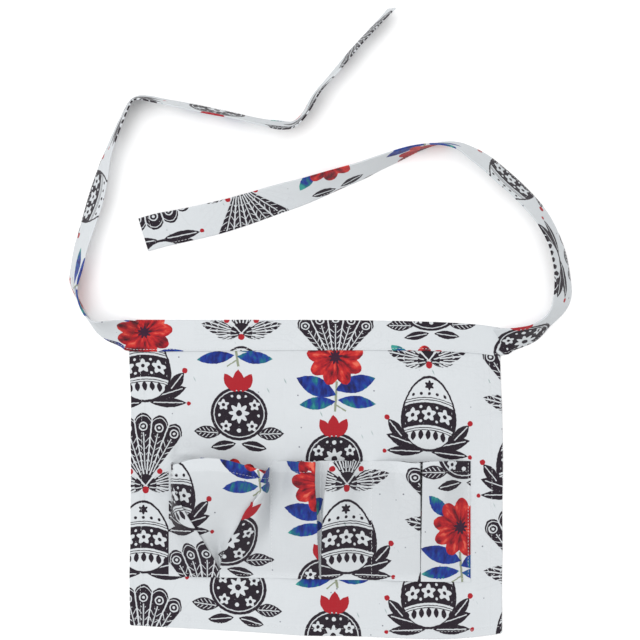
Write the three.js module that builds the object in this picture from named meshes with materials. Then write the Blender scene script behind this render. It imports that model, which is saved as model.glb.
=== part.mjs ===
// Apron with three pleated pockets and two ties, lying face up.
// Millimetres. X to the wearer's left, Y towards the waistband, Z out of the cloth.
import * as THREE from "three";

// Cloth
const clothThickness = 1;
const plyGap = 0.3;

// Panel
const panelWidth = 360;
const panelFlare = 4;
const panelHeight = 300;
const panelDrop = 8;
const lowerEdgeBow = 3;
const sideHemWidth = 11;
const lowerHemWidth = 8;
const hemThickness = 2;

// Pocket strip
const pocketWidth = 98;
const pocketDepth = 112;
const pocketDepthGain = 6;
const pocketInset = 37;
const pocketTopOffset = 138;
const pleatDepth = 17;
const pocketRise = 12;
const openPocketRise = 36;
const seamFlat = 2;

// Waistband and ties
const bandWidth = 31;
const tieWidth = 33;
const tieThickness = 2;
const tieLeftLength = 578;
const tieRightLength = 588;
const tieSteps = 66;

// Heights of the layers above the floor
const plyPitch = clothThickness + plyGap;
const stripBase = plyPitch + clothThickness / 2;

// Left tie, from the waistband to its free end.
// along: share of the length. heading: degrees from +X. lean: degrees from lying flat.
const tieLeftCourse = [
  { along: 0.0, heading: 180, lean: 0 },
  { along: 0.02, heading: 168, lean: 38 },
  { along: 0.045, heading: 158, lean: 64 },
  { along: 0.07, heading: 133, lean: 78 },
  { along: 0.09, heading: 125, lean: 74 },
  { along: 0.11, heading: 111, lean: 64 },
  { along: 0.135, heading: 95, lean: 56 },
  { along: 0.17, heading: 79, lean: 42 },
  { along: 0.215, heading: 75.5, lean: 44 },
  { along: 0.26, heading: 73.5, lean: 51 },
  { along: 0.3, heading: 72, lean: 60 },
  { along: 0.34, heading: 75, lean: 69 },
  { along: 0.38, heading: 69, lean: 70 },
  { along: 0.42, heading: 64, lean: 71 },
  { along: 0.45, heading: 60, lean: 73 },
  { along: 0.465, heading: 45, lean: 76 },
  { along: 0.48, heading: 6, lean: 78 },
  { along: 0.495, heading: -5, lean: 76 },
  { along: 0.52, heading: -13.5, lean: 75 },
  { along: 0.565, heading: -11, lean: 74 },
  { along: 0.63, heading: -11.7, lean: 74 },
  { along: 0.675, heading: -12.5, lean: 70 },
  { along: 0.705, heading: -7, lean: 71 },
  { along: 0.725, heading: 4, lean: 75 },
  { along: 0.74, heading: 24, lean: 78 },
  { along: 0.757, heading: 43, lean: 77 },
  { along: 0.785, heading: 56, lean: 75 },
  { along: 0.83, heading: 49, lean: 74 },
  { along: 0.88, heading: 51, lean: 76 },
  { along: 0.92, heading: 47.5, lean: 74 },
  { along: 0.96, heading: 47, lean: 71 },
  { along: 1.0, heading: 46, lean: 69 },
];

// Right tie, with the same columns. Past 90 degrees of lean its other face is up.
const tieRightCourse = [
  { along: 0.0, heading: 0, lean: 0 },
  { along: 0.015, heading: 12, lean: 36 },
  { along: 0.042, heading: 19, lean: 60 },
  { along: 0.068, heading: 40, lean: 77 },
  { along: 0.093, heading: 48, lean: 76 },
  { along: 0.12, heading: 74, lean: 65 },
  { along: 0.156, heading: 90.6, lean: 69 },
  { along: 0.198, heading: 100, lean: 69 },
  { along: 0.232, heading: 116, lean: 67 },
  { along: 0.269, heading: 124, lean: 66 },
  { along: 0.319, heading: 127, lean: 62 },
  { along: 0.373, heading: 137, lean: 65 },
  { along: 0.407, heading: 143, lean: 70 },
  { along: 0.433, heading: 151, lean: 77 },
  { along: 0.467, heading: 172, lean: 87 },
  { along: 0.501, heading: 191, lean: 96 },
  { along: 0.531, heading: 199.5, lean: 103 },
  { along: 0.569, heading: 201.5, lean: 115 },
  { along: 0.603, heading: 205, lean: 124 },
  { along: 0.64, heading: 199, lean: 130 },
  { along: 0.682, heading: 198.4, lean: 136 },
  { along: 0.769, heading: 198.5, lean: 148 },
  { along: 0.856, heading: 194, lean: 160 },
  { along: 0.916, heading: 195, lean: 168 },
  { along: 1.0, heading: 192, lean: 178 },
];

// The three pockets, each from its lower edge to its mouth.
// up: share of the depth. crease: half gap between the pleat's folds, share of half the width.
// rise: height of the folds, and crown: height between them, shares of the pocket's full rise.
// tuck: cloth hidden under a fold, share of the pleat's depth. open: 1 where the pleat is spread.
const pockets = [
  {
    rise: openPocketRise,
    rows: [
      { up: 0.0, crease: 0.04, rise: 0.0, crown: 0.0, tuck: 1.0, open: 0 },
      { up: 0.05, crease: 0.07, rise: 0.03, crown: 0.01, tuck: 1.0, open: 0 },
      { up: 0.16, crease: 0.18, rise: 0.14, crown: 0.11, tuck: 1.0, open: 0 },
      { up: 0.33, crease: 0.36, rise: 0.33, crown: 0.34, tuck: 0.95, open: 0 },
      { up: 0.55, crease: 0.66, rise: 0.6, crown: 0.66, tuck: 0.6, open: 0 },
      { up: 0.62, crease: 0.78, rise: 0.68, crown: 0.75, tuck: 0.4, open: 0.3 },
      { up: 0.7, crease: 0.88, rise: 0.76, crown: 0.84, tuck: 0.4, open: 1 },
      { up: 0.85, crease: 0.94, rise: 0.84, crown: 0.94, tuck: 0.4, open: 1 },
      { up: 1.0, crease: 0.95, rise: 0.9, crown: 1.0, tuck: 0.4, open: 1 },
    ],
  },
  {
    rise: pocketRise,
    rows: [
      { up: 0.0, crease: 0.03, rise: 0.0, crown: 0.0, tuck: 1.0, open: 0 },
      { up: 0.05, crease: 0.035, rise: 0.04, crown: 0.0, tuck: 1.0, open: 0 },
      { up: 0.16, crease: 0.04, rise: 0.22, crown: 0.08, tuck: 1.0, open: 0 },
      { up: 0.33, crease: 0.05, rise: 0.48, crown: 0.26, tuck: 1.0, open: 0 },
      { up: 0.55, crease: 0.08, rise: 0.72, crown: 0.42, tuck: 1.0, open: 0 },
      { up: 0.68, crease: 0.1, rise: 0.84, crown: 0.5, tuck: 1.0, open: 0 },
      { up: 0.82, crease: 0.13, rise: 0.94, crown: 0.56, tuck: 1.0, open: 0 },
      { up: 1.0, crease: 0.17, rise: 1.0, crown: 0.6, tuck: 1.0, open: 0 },
    ],
  },
  {
    rise: pocketRise,
    rows: [
      { up: 0.0, crease: 0.03, rise: 0.0, crown: 0.0, tuck: 1.0, open: 0 },
      { up: 0.05, crease: 0.03, rise: 0.04, crown: 0.0, tuck: 1.0, open: 0 },
      { up: 0.16, crease: 0.03, rise: 0.2, crown: 0.08, tuck: 1.0, open: 0 },
      { up: 0.33, crease: 0.035, rise: 0.44, crown: 0.26, tuck: 1.0, open: 0 },
      { up: 0.55, crease: 0.04, rise: 0.68, crown: 0.42, tuck: 1.0, open: 0 },
      { up: 0.68, crease: 0.045, rise: 0.8, crown: 0.5, tuck: 1.0, open: 0 },
      { up: 0.82, crease: 0.05, rise: 0.9, crown: 0.56, tuck: 1.0, open: 0 },
      { up: 1.0, crease: 0.055, rise: 1.0, crown: 0.6, tuck: 1.0, open: 0 },
    ],
  },
];

// A closed solid between two grids of points that have the same rows and columns.
function closedWall(upper, lower) {
  const rows = upper.length;
  const columns = upper[0].length;
  const points = [...upper.flat(), ...lower.flat()];
  const top = (r, c) => r * columns + c;
  const bottom = (r, c) => (rows + r) * columns + c;
  const index = [];
  const quad = (a, b, c, d) => index.push(a, b, c, a, c, d);
  for (let r = 0; r + 1 < rows; r++) {
    for (let c = 0; c + 1 < columns; c++) {
      quad(top(r, c), top(r, c + 1), top(r + 1, c + 1), top(r + 1, c));
      quad(bottom(r, c), bottom(r + 1, c), bottom(r + 1, c + 1), bottom(r, c + 1));
    }
    const last = columns - 1;
    quad(bottom(r + 1, 0), bottom(r, 0), top(r, 0), top(r + 1, 0));
    quad(bottom(r, last), bottom(r + 1, last), top(r + 1, last), top(r, last));
  }
  for (let c = 0; c + 1 < columns; c++) {
    const last = rows - 1;
    quad(bottom(0, c), bottom(0, c + 1), top(0, c + 1), top(0, c));
    quad(bottom(last, c + 1), bottom(last, c), top(last, c), top(last, c + 1));
  }
  let volume = 0;
  for (let i = 0; i < index.length; i += 3) {
    const [a, b, c] = [points[index[i]], points[index[i + 1]], points[index[i + 2]]];
    volume += a.dot(b.clone().cross(c));
  }
  if (volume < 0) index.reverse();
  const geometry = new THREE.BufferGeometry().setFromPoints(points);
  geometry.setIndex(index);
  geometry.computeVertexNormals();
  return geometry;
}

// Linear reading of a column of a table at a share of its key column.
function readTable(table, key, value, column) {
  const next = Math.max(1, table.findIndex((row) => row[key] >= value));
  const [before, after] = [table[next - 1], table[next]];
  const share = (value - before[key]) / (after[key] - before[key]);
  return before[column] + (after[column] - before[column]) * share;
}

// Point of the panel. across: share from left to right. down: share from top to bottom.
function panelPoint(across, down, height) {
  const width = panelWidth + panelFlare * down;
  const x = (across - 0.5) * width;
  const bow = lowerEdgeBow * down * 4 * across * (1 - across);
  return new THREE.Vector3(x, -down * panelHeight - panelDrop * across - bow, height);
}

// Stations from 0 to 1 with a step of the thickness at a hem, and even spacing between.
function hemStations(hem, count, far) {
  const half = 0.002;
  const stations = [0, hem - half, hem + half];
  for (let i = 1; i <= count; i++) stations.push(hem + half + ((far - hem - half) * i) / count);
  return stations;
}

function buildPanel() {
  const sideHem = sideHemWidth / panelWidth;
  const lowerHem = lowerHemWidth / panelHeight;
  const band = bandWidth / panelHeight;
  const leftHalf = hemStations(sideHem, 5, 0.5);
  const across = [...leftHalf, ...leftHalf.slice(0, -1).reverse().map((s) => 1 - s)];
  const up = [...hemStations(lowerHem, 8, 1 - band * 1.5), 1 - band * 1.05, 1 - band * 0.12];
  const upper = [];
  const lower = [];
  for (const height of up) {
    const inBand = THREE.MathUtils.smoothstep(height, 1 - band * 1.5, 1 - band * 1.05);
    const lift = plyPitch * inBand;
    const hemmed = (s) => s < sideHem || s > 1 - sideHem || height < lowerHem;
    const thickness = (s) =>
      hemmed(s) ? THREE.MathUtils.lerp(hemThickness, clothThickness, inBand) : clothThickness;
    upper.push(across.map((s) => panelPoint(s, 1 - height, lift + thickness(s))));
    lower.push(across.map((s) => panelPoint(s, 1 - height, lift)));
  }
  return closedWall(upper, lower);
}

// Offsets a polyline of the XZ plane to both sides by half the cloth's thickness.
function clothSides(points, y) {
  const half = clothThickness / 2;
  const normals = points.map((point, i) => {
    const before = points[Math.max(0, i - 1)];
    const after = points[Math.min(points.length - 1, i + 1)];
    const direction = new THREE.Vector2().subVectors(after, before).normalize();
    return new THREE.Vector2(-direction.y, direction.x);
  });
  const side = (sign) =>
    points.map((point, i) => {
      const moved = point.clone().addScaledVector(normals[i], sign * half);
      return new THREE.Vector3(moved.x, y(point.x), moved.y);
    });
  return [side(1), side(-1)];
}

function bezier(points, t) {
  const s = 1 - t;
  const weights = [s * s * s, 3 * s * s * t, 3 * s * t * t, t * t * t];
  const point = new THREE.Vector2();
  points.forEach((p, i) => point.addScaledVector(p, weights[i]));
  return point;
}

function lengthsAlong(points) {
  const lengths = [0];
  for (let i = 1; i < points.length; i++) {
    lengths.push(lengths[i - 1] + points[i].distanceTo(points[i - 1]));
  }
  return lengths;
}

function pointAt(points, lengths, length) {
  const next = Math.max(1, lengths.findIndex((l) => l >= length - 1e-9));
  const share = (length - lengths[next - 1]) / (lengths[next] - lengths[next - 1]);
  return points[next - 1].clone().lerp(points[next], share);
}

// Left half of a pocket's section at a height, from its seam to the middle of its pleat.
function halfSection(pocket, up, halfWidth) {
  const read = (column) => readTable(pocket.rows, "up", up, column);
  const pitch = plyPitch * (1 + 0.9 * up);
  const foldHeight = 2 * pitch + pocket.rise * read("rise");
  const crown = pocket.rise * read("crown");
  const crease = halfWidth * read("crease");
  const tuck = pleatDepth * read("tuck");
  const run = halfWidth - crease;
  const v = (x, z) => new THREE.Vector2(x, z);

  // Front ply, from the seam up to the fold
  const front = [
    v(-halfWidth, 0),
    v(-halfWidth + run * 0.04, foldHeight * 0.9),
    v(-crease - run * 0.55, foldHeight),
    v(-crease, foldHeight),
  ];
  const frontPoints = Array.from({ length: 25 }, (_, i) => bezier(front, i / 24));
  const frontLengths = lengthsAlong(frontPoints);
  const frontLength = frontLengths.at(-1);
  const ply = (length, depth) => {
    const step = 0.4;
    const a = pointAt(frontPoints, frontLengths, Math.max(0, length - step));
    const b = pointAt(frontPoints, frontLengths, Math.min(frontLength, length + step));
    const direction = b.sub(a).normalize();
    const normal = v(-direction.y, direction.x);
    return pointAt(frontPoints, frontLengths, length).addScaledVector(normal, -depth);
  };
  const turnLength = frontLength - Math.min(tuck, frontLength * 0.6);
  const folded = [];
  for (let i = 0; i <= 8; i++) folded.push(ply((frontLength * i) / 8, 0));
  const turn = (length, depth, sign) => {
    const centre = ply(length, depth);
    const out = ply(length, 0).sub(ply(length, 1)).normalize();
    const along = v(out.y, -out.x);
    for (let i = 1; i <= 3; i++) {
      const angle = (Math.PI * i) / 4;
      const point = centre.clone().addScaledVector(out, (pitch / 2) * Math.cos(angle));
      folded.push(point.addScaledVector(along, (sign * pitch * Math.sin(angle)) / 2));
    }
  };
  turn(frontLength, pitch / 2, 1);
  for (let i = 0; i <= 2; i++) {
    folded.push(ply(frontLength + ((turnLength - frontLength) * i) / 2, pitch));
  }
  turn(turnLength, pitch * 1.5, -1);
  for (let i = 0; i <= 2; i++) {
    folded.push(ply(turnLength + ((frontLength - turnLength) * i) / 2, 2 * pitch));
  }
  const under = [
    folded.at(-1),
    v(-crease * 0.66, foldHeight - 2 * pitch),
    v(-crease * 0.33, crown),
    v(0, crown),
  ];
  for (let i = 1; i <= 4; i++) folded.push(bezier(under, i / 4));

  // The same cloth with its pleat spread over a squarish arch
  const arch = [];
  const wall = [
    v(-halfWidth, 0),
    v(-halfWidth - 2, foldHeight * 0.5),
    v(-halfWidth - 2, foldHeight * 0.95),
    v(-crease + run * 3, foldHeight + (crown - foldHeight) * 0.35),
  ];
  const roof = [
    wall[3],
    v(-halfWidth * 0.62, crown * 0.99),
    v(-halfWidth * 0.3, crown),
    v(0, crown),
  ];
  for (let i = 0; i < 16; i++) arch.push(bezier(wall, i / 16));
  for (let i = 0; i <= 16; i++) arch.push(bezier(roof, i / 16));
  const archLengths = lengthsAlong(arch);
  const foldedLengths = lengthsAlong(folded);
  const scale = archLengths.at(-1) / foldedLengths.at(-1);
  const open = read("open");
  return folded.map((point, i) =>
    point.lerp(pointAt(arch, archLengths, foldedLengths[i] * scale), open),
  );
}

function buildPocketPanel() {
  const left = -panelWidth / 2 + pocketInset;
  const heights = pockets[0].rows.map((row) => row.up);
  const upper = [];
  const lower = [];
  for (const up of heights) {
    const section = [new THREE.Vector2(left, stripBase)];
    pockets.forEach((pocket, number) => {
      const middle = left + (number + 0.5) * pocketWidth;
      const half = halfSection(pocket, up, pocketWidth / 2 - seamFlat / 2);
      const mirrored = half.slice(0, -1).reverse().map((p) => new THREE.Vector2(-p.x, p.y));
      for (const p of [...half, ...mirrored]) {
        section.push(new THREE.Vector2(middle + p.x, stripBase + p.y));
      }
    });
    section.push(new THREE.Vector2(left + 3 * pocketWidth, stripBase));
    const y = (x) => {
      const across = (x - left) / (3 * pocketWidth);
      const depth = pocketDepth + pocketDepthGain * across;
      return -pocketTopOffset - panelDrop * 0.1 - depth * (1 - up);
    };
    const [above, below] = clothSides(section, y);
    upper.push(above);
    lower.push(below);
  }
  return closedWall(upper, lower);
}

function buildWaistband() {
  const across = Array.from({ length: 9 }, (_, i) => i / 8);
  const outer = 1.5 * clothThickness + plyGap;
  const inner = outer - clothThickness;
  const arc = 6;
  const upper = [];
  const lower = [];
  const place = (s, down, height) => {
    const point = panelPoint(s, 0, height);
    point.y -= down;
    return point;
  };
  const row = (list, down, height) => list.push(across.map((s) => place(s, down, height)));
  row(upper, bandWidth, 2 * outer);
  row(lower, bandWidth, outer + inner);
  for (let i = 0; i <= arc; i++) {
    const angle = (Math.PI * i) / arc;
    const level = (radius) => outer + radius * Math.cos(angle);
    row(upper, outer - outer * Math.sin(angle), level(outer));
    row(lower, outer - inner * Math.sin(angle), level(inner));
  }
  row(upper, bandWidth, 0);
  row(lower, bandWidth, outer - inner);
  return closedWall(upper, lower);
}

// A tie as a flat strip that stands on its lower edge wherever it leans.
function buildTie(course, length, start, side) {
  const across = [-0.5, -0.46, 0.46, 0.5];
  const fullness = [0.5, 1, 1, 0.5];
  const step = length / tieSteps;
  const centre = start.clone();
  const upper = [];
  const lower = [];
  const radians = THREE.MathUtils.degToRad;
  for (let i = 0; i <= tieSteps; i++) {
    const along = i / tieSteps;
    if (i > 0) {
      const heading = radians(readTable(course, "along", along - 0.5 / tieSteps, "heading"));
      centre.x += step * Math.cos(heading);
      centre.y += step * Math.sin(heading);
    }
    const heading = radians(readTable(course, "along", along, "heading"));
    const lean = radians(readTable(course, "along", along, "lean"));
    const level = new THREE.Vector3(-Math.sin(heading), Math.cos(heading), 0);
    level.multiplyScalar(side);
    const width = level.clone().multiplyScalar(Math.cos(lean));
    width.z = Math.sin(lean);
    const face = level.clone().multiplyScalar(-Math.sin(lean));
    face.z = Math.cos(lean);
    centre.z = (tieWidth * Math.sin(lean) + tieThickness * Math.abs(Math.cos(lean))) / 2;
    const edge = (sign) =>
      across.map((share, k) =>
        centre
          .clone()
          .addScaledVector(width, share * tieWidth)
          .addScaledVector(face, (sign * tieThickness * fullness[k]) / 2),
      );
    upper.push(edge(1));
    lower.push(edge(-1));
  }
  return closedWall(upper, lower);
}

const leftStart = panelPoint(0, 0, 0);
leftStart.x -= 2 * plyGap;
leftStart.y -= tieWidth / 2;
const rightStart = panelPoint(1, 0, 0);
rightStart.x += 2 * plyGap;
rightStart.y -= tieWidth / 2;

const pieces = [
  { name: "apron_panel", colour: 0xd3d6da, geometry: buildPanel() },
  { name: "pocket_panel", colour: 0xb9b4bb, geometry: buildPocketPanel() },
  { name: "waistband", colour: 0x8a858d, geometry: buildWaistband() },
  {
    name: "tie_left",
    colour: 0xc3c5ca,
    geometry: buildTie(tieLeftCourse, tieLeftLength, leftStart, -1),
  },
  {
    name: "tie_right",
    colour: 0xc3c5ca,
    geometry: buildTie(tieRightCourse, tieRightLength, rightStart, 1),
  },
];

const apron = new THREE.Group();
apron.name = "egg_gathering_apron";
for (const { name, colour, geometry } of pieces) {
  const material = new THREE.MeshStandardMaterial({ color: colour, roughness: 0.9 });
  material.name = name;
  const mesh = new THREE.Mesh(geometry, material);
  mesh.name = name;
  apron.add(mesh);
}

// The origin is under the middle of the whole
const box = new THREE.Box3().setFromObject(apron);
const middle = box.getCenter(new THREE.Vector3());
for (const mesh of apron.children) mesh.geometry.translate(-middle.x, -middle.y, -box.min.z);

export default apron;
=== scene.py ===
"""An egg gathering apron laid face up on a pale floor: a printed cotton panel, a strip sewn on as
three pleated pockets, and one folded strip that is the waistband and both ties."""

import bpy
import numpy as np
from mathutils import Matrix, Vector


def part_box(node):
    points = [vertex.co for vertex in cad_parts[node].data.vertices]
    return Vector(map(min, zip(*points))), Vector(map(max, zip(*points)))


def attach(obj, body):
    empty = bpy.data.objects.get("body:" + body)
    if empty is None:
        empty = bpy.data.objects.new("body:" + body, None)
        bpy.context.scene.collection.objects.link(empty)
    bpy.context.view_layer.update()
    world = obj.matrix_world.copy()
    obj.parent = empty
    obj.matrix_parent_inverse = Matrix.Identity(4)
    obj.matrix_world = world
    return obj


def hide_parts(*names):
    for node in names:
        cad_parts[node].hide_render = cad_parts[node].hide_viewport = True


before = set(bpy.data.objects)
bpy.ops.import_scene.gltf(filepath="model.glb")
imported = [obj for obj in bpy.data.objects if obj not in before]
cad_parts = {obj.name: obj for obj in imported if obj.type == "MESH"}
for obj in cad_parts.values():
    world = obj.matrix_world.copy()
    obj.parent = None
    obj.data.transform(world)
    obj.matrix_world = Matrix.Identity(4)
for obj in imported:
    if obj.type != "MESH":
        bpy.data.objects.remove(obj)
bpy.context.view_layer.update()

# Sizes, in millimetres
PANEL_WIDTH = 360.0
PANEL_HEIGHT = 300.0
SIDE_HEM = 12.0
LOWER_HEM = 8.5
SIDE_STITCH = 10.3
LOWER_STITCH = 7.0

POCKET_WIDTH = 98.0
POCKET_DEPTH = 112.0
POCKET_DEPTH_GAIN = 6.0
POCKET_INSET = 37.0
FIRST_POCKET_GAIN = 1.8
POCKET_TOP = 138.8
PLEAT_DEPTH = 17.0
POCKET_HEM = 10.0
POCKET_RISE = 12.0
OPEN_POCKET_RISE = 36.0
POCKET_FLAT = POCKET_WIDTH + 4 * PLEAT_DEPTH
SEAM_FLAT = 3

BAND_WIDTH = 31.0
BAND_TAPER = 3.5
TIE_WIDTH = 33.0
TIE_LEFT_LENGTH = 578.0
TIE_RIGHT_LENGTH = 588.0
TURNED_IN = 7.0

# Thickness of the cloths and of the thread, and the pitch of plies that lie on each other.
CLOTH = 0.6
STRIP_CLOTH = 0.5
THREAD = 0.36
PLY = 1.15
PANEL_TURN = 0.62
POCKET_TURN = 0.64

# Counts in the grids, the strip's seam in columns from its turned-in end, and the small gap by which
# a tie starts beyond the panel.
FRONT_COLUMNS = 46
BAND_STATIONS = 168
COURSE_STEPS = 320
STITCH_COLUMN = 9.95
CORNER_GAP = 0.6

# Where each piece's own zero lies on the printed cloth it was cut from.
PANEL_PRINT = np.array([33.0, 340.0])
POCKET_PRINT = np.array([12.0, 44.0])
STRIP_PRINT = np.array([5.0, 25.0])

# The photograph's pixel in millimetres, its width and the panel's left edge in pixels, and a camera
# above the photograph's middle that sees just its width.
PHOTO_PIXEL = 0.981
PHOTO_WIDTH = 640
PANEL_PIXEL = 133
CAMERA_LENS = 85.0
CAMERA_SENSOR = 36.0
CAMERA_HEIGHT = PHOTO_WIDTH * PHOTO_PIXEL * CAMERA_LENS / CAMERA_SENSOR

band_low, band_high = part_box("waistband")
LEFT_TOP = np.array([band_low[0] * 1000, band_high[1] * 1000])
CAMERA_OVER = LEFT_TOP + PHOTO_PIXEL * np.array([PHOTO_WIDTH / 2 - PANEL_PIXEL, 0])


def table(columns, rows):
    """Rows of numbers as one array for each named column."""
    return dict(zip(columns.split(), np.array(rows, float).T))


def read(rows, key, column, at):
    """A column where the key column is `at`: a cubic between neighbouring rows that leaves each row
    with the slope of its neighbours."""
    x, y = rows[key], rows[column]
    slope = np.gradient(y, x)
    i = np.clip(np.searchsorted(x, at, side="right") - 1, 0, len(x) - 2)
    step = x[i + 1] - x[i]
    t = (at - x[i]) / step
    return (
        (2 * t**3 - 3 * t**2 + 1) * y[i]
        + (t**3 - 2 * t**2 + t) * step * slope[i]
        + (3 * t**2 - 2 * t**3) * y[i + 1]
        + (t**3 - t**2) * step * slope[i + 1]
    )


def ease(x, low, high):
    """0 below low, 1 above high, and a smooth S between."""
    t = np.clip((x - low) / (high - low), 0, 1)
    return t * t * (3 - 2 * t)


# Tables

# Courses of the ties, read from the photograph in mm: the middle's place from the panel's
# upper corner on that side, and how wide the tie looks there, less than 0 where it is turned over.
TIE_LEFT = table(
    "right up wide",
    [
        (0, -16.5, 33),
        (-13, -13, 26),
        (-23, -11, 21),
        (-33, -8, 14),
        (-41, -2, 8),
        (-48, 8, 7),
        (-53, 19, 9),
        (-56, 29, 13),
        (-57, 39, 18),
        (-54.5, 51, 20),
        (-51, 69, 21),
        (-43.5, 93, 22),
        (-36, 118, 23),
        (-30.5, 139, 21),
        (-25.5, 159, 17),
        (-18.5, 178, 15),
        (-10, 198, 14),
        (-4.5, 210, 13),
        (0.5, 218, 13),
        (9, 219, 12),
        (26, 216, 12),
        (66, 208, 13),
        (105, 200, 12),
        (132, 194, 13),
        (149, 191.5, 15),
        (158, 192, 13),
        (165, 197, 10),
        (172, 206, 9),
        (181, 222, 9),
        (199, 243, 10),
        (219, 267, 10),
        (242, 292, 10),
        (256, 307, 11),
    ],
)
TIE_RIGHT = table(
    "right up wide",
    [
        (0, -16.5, 33),
        (13, -12.5, 23),
        (21, -10, 20),
        (32, -5.5, 15),
        (39, 0, 11),
        (46, 6, 8),
        (52, 13, 10),
        (57, 21, 14),
        (60, 30, 16),
        (60, 48, 14),
        (57.5, 66, 13),
        (53, 82, 12),
        (42, 104, 13),
        (21, 129, 14),
        (0, 148, 14),
        (-14, 160, 13),
        (-26, 168, 11),
        (-40, 176, 6),
        (-59, 178.5, 1),
        (-78, 175, -5),
        (-98, 168, -10),
        (-118, 160, -13),
        (-137, 152, -16),
        (-157, 145, -19),
        (-176, 138, -22),
        (-196, 131, -25),
        (-216, 125, -27),
        (-245, 115.5, -29),
        (-274, 107, -31),
        (-314, 98, -32),
        (-333, 94, -33),
        (-347, 90, -33),
    ],
)

# Pockets from the lower seam to the mouth. left, right: how far the pleat's folds stand from its
# middle, shares of half the width. rise, crown: heights of the folds and of the cloth between them,
# shares of the pocket's full rise. reach, lift: the point that bends the front ply's start, shares of
# its run and height. tuck: cloth under a fold, share of the pleat's depth. open: 1 where the pleat
# is spread into an arch.
POCKETS = [
    (
        OPEN_POCKET_RISE,
        table(
            "up left right rise crown tuck open reach lift",
            [
                (0.0, 0.02, 0.02, 0.0, 0.0, 1.0, 0, 0.3, 0.2),
                (0.07, 0.03, 0.02, 0.04, 0.0, 1.0, 0, 0.4, 0.12),
                (0.13, 0.08, 0.05, 0.11, 0.01, 1.0, 0, 0.44, 0.1),
                (0.2, 0.17, 0.1, 0.2, 0.02, 1.0, 0, 0.44, 0.1),
                (0.26, 0.25, 0.15, 0.28, 0.05, 0.97, 0, 0.42, 0.12),
                (0.335, 0.35, 0.23, 0.36, 0.14, 0.92, 0, 0.38, 0.2),
                (0.44, 0.5, 0.38, 0.47, 0.34, 0.8, 0, 0.28, 0.4),
                (0.6, 0.72, 0.56, 0.6, 0.6, 0.58, 0, 0.18, 0.55),
                (0.7, 0.81, 0.7, 0.7, 0.74, 0.42, 0.25, 0.14, 0.65),
                (0.8, 0.89, 0.85, 0.8, 0.87, 0.36, 0.7, 0.1, 0.75),
                (0.9, 0.95, 0.95, 0.89, 0.97, 0.34, 1, 0.1, 0.75),
                (1.0, 0.99, 1.0, 0.94, 1.0, 0.34, 1, 0.1, 0.75),
            ],
        ),
    ),
    (
        POCKET_RISE,
        table(
            "up left right rise crown tuck open reach lift",
            [
                (0.0, 0.03, 0.03, 0.0, 0.0, 1.0, 0, 0.45, 0.12),
                (0.07, 0.05, 0.03, 0.06, 0.0, 1.0, 0, 0.45, 0.12),
                (0.16, 0.06, 0.03, 0.22, 0.06, 1.0, 0, 0.45, 0.12),
                (0.33, 0.08, 0.04, 0.48, 0.18, 1.0, 0, 0.45, 0.12),
                (0.55, 0.1, 0.07, 0.72, 0.28, 1.0, 0, 0.45, 0.12),
                (0.7, 0.12, 0.09, 0.85, 0.34, 1.0, 0, 0.45, 0.12),
                (0.85, 0.14, 0.14, 0.95, 0.38, 1.0, 0, 0.45, 0.12),
                (1.0, 0.13, 0.2, 1.0, 0.42, 1.0, 0, 0.45, 0.12),
            ],
        ),
    ),
    (
        POCKET_RISE,
        table(
            "up left right rise crown tuck open reach lift",
            [
                (0.0, 0.02, 0.02, 0.0, 0.0, 1.0, 0, 0.3, 0.2),
                (0.07, 0.025, 0.02, 0.05, 0.0, 1.0, 0, 0.3, 0.2),
                (0.16, 0.03, 0.02, 0.2, 0.08, 1.0, 0, 0.3, 0.2),
                (0.33, 0.035, 0.025, 0.44, 0.26, 1.0, 0, 0.3, 0.2),
                (0.55, 0.04, 0.035, 0.68, 0.42, 1.0, 0, 0.3, 0.2),
                (0.7, 0.045, 0.04, 0.8, 0.5, 1.0, 0, 0.3, 0.2),
                (0.85, 0.05, 0.045, 0.9, 0.56, 1.0, 0, 0.3, 0.2),
                (1.0, 0.055, 0.055, 1.0, 0.6, 1.0, 0, 0.3, 0.2),
            ],
        ),
    ),
]

# How much lower the mouth hangs than its straight line, along the strip, in millimetres.
MOUTH = table(
    "along drop",
    [
        (0.0, 1.0),
        (0.02, 0.5),
        (0.08, -4.5),
        (0.15, -6.0),
        (0.2, -4.0),
        (0.26, 1.0),
        (0.31, 5.0),
        (0.33, 5.5),
        (0.338, 1.0),
        (0.36, 0.2),
        (0.42, -0.8),
        (0.48, -0.5),
        (0.54, -1.5),
        (0.667, 0.0),
        (0.75, -1.0),
        (0.82, 0.5),
        (0.85, -0.5),
        (1.0, 0.0),
    ],
)

# The panel's outline against a plain rectangle: how much lower its upper and lower edges lie along
# its width, and how far its sides stand out down its height. Shares, then millimetres.
PANEL_ENDS = table(
    "across upper lower",
    [
        (0.0, 0.0, -1.3),
        (0.135, 0.0, 1.4),
        (0.24, 0.0, 3.7),
        (0.35, 0.0, 5.9),
        (0.46, 0.1, 8.8),
        (0.6, 0.5, 9.6),
        (0.73, 1.2, 11.7),
        (0.8, 1.9, 12.6),
        (0.87, 3.0, 12.1),
        (0.95, 5.3, 9.3),
        (1.0, 8.0, 6.2),
    ],
)
PANEL_SIDES = table(
    "down left right",
    [
        (0.0, 1.5, -0.6),
        (0.11, 3.2, -0.4),
        (0.17, 2.8, 0.1),
        (0.26, 1.7, 1.1),
        (0.39, 1.7, 2.2),
        (0.52, 1.8, 2.0),
        (0.65, 2.2, 1.7),
        (0.8, 2.7, 1.6),
        (1.0, 2.9, 1.0),
    ],
)

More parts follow.
